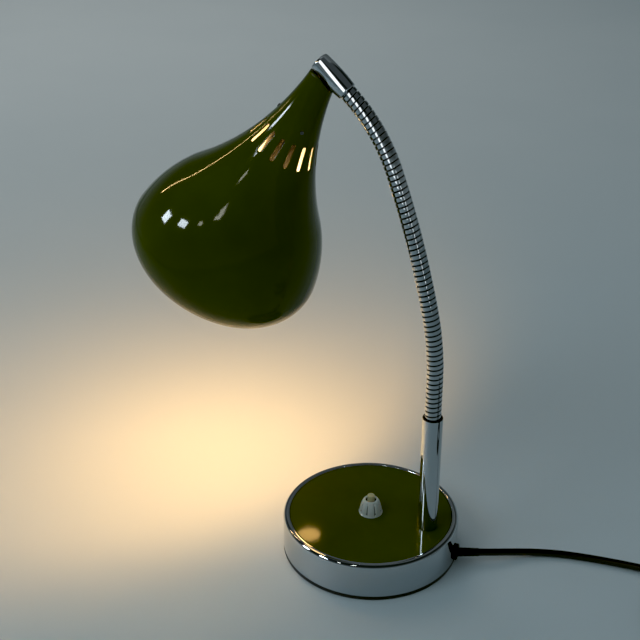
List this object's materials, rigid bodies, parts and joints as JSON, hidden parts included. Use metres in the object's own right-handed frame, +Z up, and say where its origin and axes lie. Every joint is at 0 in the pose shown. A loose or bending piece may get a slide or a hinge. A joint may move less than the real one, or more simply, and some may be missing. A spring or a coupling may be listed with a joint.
{
  "type": "desk lamp",
  "caption": "Gooseneck desk lamp: onion-shaped enamelled shade with vent slots on a flexible ribbed neck, chromed stem and weighted round base with a push switch.",
  "frame": {"origin": "centre of the base's underside, on the table", "axes": "+Z up; +X from the base's centre to the stem, so the shade hangs towards -X"},
  "size_m": [0.5744, 0.1612, 0.4222],
  "materials": {
    "mirror_chrome": "polished",
    "neck_chrome": "polished",
    "olive_enamel": "gloss",
    "cast_iron": "matte",
    "plated_steel": "satin",
    "black_felt": "matte",
    "black_bakelite": "gloss",
    "cream_plastic": "satin",
    "ivory_plastic": "satin",
    "brass": "satin",
    "black_rubber": "matte",
    "black_cord": "satin",
    "bulb_glass": "gloss",
    "filament": "gloss"
  },
  "bodies": {
    "base": {"base_ring": "mirror_chrome", "stem_tube": "mirror_chrome", "neck_section_01": "neck_chrome", "top_plate": "olive_enamel", "base_weight": "cast_iron", "bottom_cover": "plated_steel", "cover_screws": "plated_steel", "clamp_screws": "plated_steel", "stem_washer": "plated_steel", "stem_nut": "plated_steel", "switch_spring": "plated_steel", "foot_pad": "black_felt", "switch_body": "black_bakelite", "cord_clamp": "black_bakelite", "plug_body": "black_bakelite", "switch_collar": "cream_plastic", "stem_insert": "brass", "stem_nipple": "brass", "neck_socket": "brass", "switch_terminals": "brass", "plug_pins": "brass", "cord_bushing": "black_rubber", "plug_sleeve": "black_rubber", "coil_tie": "black_rubber", "mains_cord": "black_cord", "cord_coil": "black_cord", "cord_tail": "black_cord", "inner_cord": "black_cord", "neck_lead": "black_cord", "switch_wires": "black_cord"},
    "neck_02": {"neck_section_02": "neck_chrome"},
    "neck_03": {"neck_section_03": "neck_chrome"},
    "neck_04": {"neck_section_04": "neck_chrome"},
    "neck_05": {"neck_section_05": "neck_chrome"},
    "neck_06": {"neck_section_06": "neck_chrome"},
    "neck_07": {"neck_section_07": "neck_chrome"},
    "neck_08": {"neck_section_08": "neck_chrome"},
    "neck_09": {"neck_section_09": "neck_chrome"},
    "neck_10": {"neck_section_10": "neck_chrome"},
    "neck_11": {"neck_section_11": "neck_chrome"},
    "neck_12": {"neck_section_12": "neck_chrome"},
    "neck_13": {"neck_section_13": "neck_chrome"},
    "head": {"head_barrel": "mirror_chrome", "shade": "olive_enamel", "shade_pipe": "brass", "shade_nuts": "plated_steel", "shade_carrier": "plated_steel", "set_screws": "plated_steel", "holder_cap": "black_bakelite", "holder_sleeve": "black_bakelite", "holder_contact": "brass", "holder_lead": "black_cord", "bulb_cap": "brass", "bulb_glass": "bulb_glass", "bulb_filament": "filament"},
    "button": {"switch_button": "ivory_plastic"}
  },
  "joints": [
    {"name": "neck_bend_01", "type": "hinge", "parent": "base", "child": "neck_02", "pos_m": [0.051, 0, 0.162], "axis": [0, -1, 0], "range_deg": [-9, 7], "deforming": ["neck_lead"]},
    {"name": "neck_bend_02", "type": "hinge", "parent": "neck_02", "child": "neck_03", "pos_m": [0.05083, 0, 0.183], "axis": [0, -1, 0], "range_deg": [-9, 7], "deforming": ["neck_lead"]},
    {"name": "neck_sway_03", "type": "hinge", "parent": "neck_03", "child": "neck_04", "pos_m": [0.04926, 0, 0.20394], "axis": [-0.9935, 0, -0.1135], "range_deg": [-9, 9], "deforming": ["neck_lead"]},
    {"name": "neck_bend_04", "type": "hinge", "parent": "neck_04", "child": "neck_05", "pos_m": [0.04607, 0, 0.22469], "axis": [0, -1, 0], "range_deg": [-9, 7], "deforming": ["neck_lead"]},
    {"name": "neck_bend_05", "type": "hinge", "parent": "neck_05", "child": "neck_06", "pos_m": [0.04148, 0, 0.24518], "axis": [0, -1, 0], "range_deg": [-9, 7], "deforming": ["neck_lead"]},
    {"name": "neck_sway_06", "type": "hinge", "parent": "neck_06", "child": "neck_07", "pos_m": [0.0363, 0, 0.26553], "axis": [-0.9658, 0, -0.2592], "range_deg": [-9, 9], "deforming": ["neck_lead"]},
    {"name": "neck_bend_07", "type": "hinge", "parent": "neck_07", "child": "neck_08", "pos_m": [0.03059, 0, 0.28574], "axis": [0, -1, 0], "range_deg": [-9, 7], "deforming": ["neck_lead"]},
    {"name": "neck_bend_08", "type": "hinge", "parent": "neck_08", "child": "neck_09", "pos_m": [0.02437, 0, 0.3058], "axis": [0, -1, 0], "range_deg": [-9, 7], "deforming": ["neck_lead"]},
    {"name": "neck_sway_09", "type": "hinge", "parent": "neck_09", "child": "neck_10", "pos_m": [0.01763, 0, 0.32569], "axis": [-0.9429, 0, -0.333], "range_deg": [-9, 9], "deforming": ["neck_lead"]},
    {"name": "neck_bend_10", "type": "hinge", "parent": "neck_10", "child": "neck_11", "pos_m": [0.01033, 0, 0.34538], "axis": [0, -1, 0], "range_deg": [-9, 7], "deforming": ["neck_lead"]},
    {"name": "neck_bend_11", "type": "hinge", "parent": "neck_11", "child": "neck_12", "pos_m": [0.0009, 0, 0.36412], "axis": [0, -1, 0], "range_deg": [-9, 7], "deforming": ["neck_lead"]},
    {"name": "neck_sway_12", "type": "hinge", "parent": "neck_12", "child": "neck_13", "pos_m": [-0.0112, 0, 0.38127], "axis": [-0.7724, 0, -0.6351], "range_deg": [-9, 9], "deforming": ["neck_lead"]},
    {"name": "head_turn", "type": "hinge", "parent": "neck_13", "child": "head", "pos_m": [-0.02568, 0, 0.39644], "axis": [-0.742, 0, 0.6704], "range_deg": [-120, 120], "deforming": ["neck_lead"]},
    {"name": "button_press", "type": "slide", "parent": "base", "child": "button", "axis": [0, 0, -1], "range_m": [0, 0.003], "stiffness_N_per_m": 400, "springref_m": -0.004, "deforming": ["switch_spring"]}
  ]
}
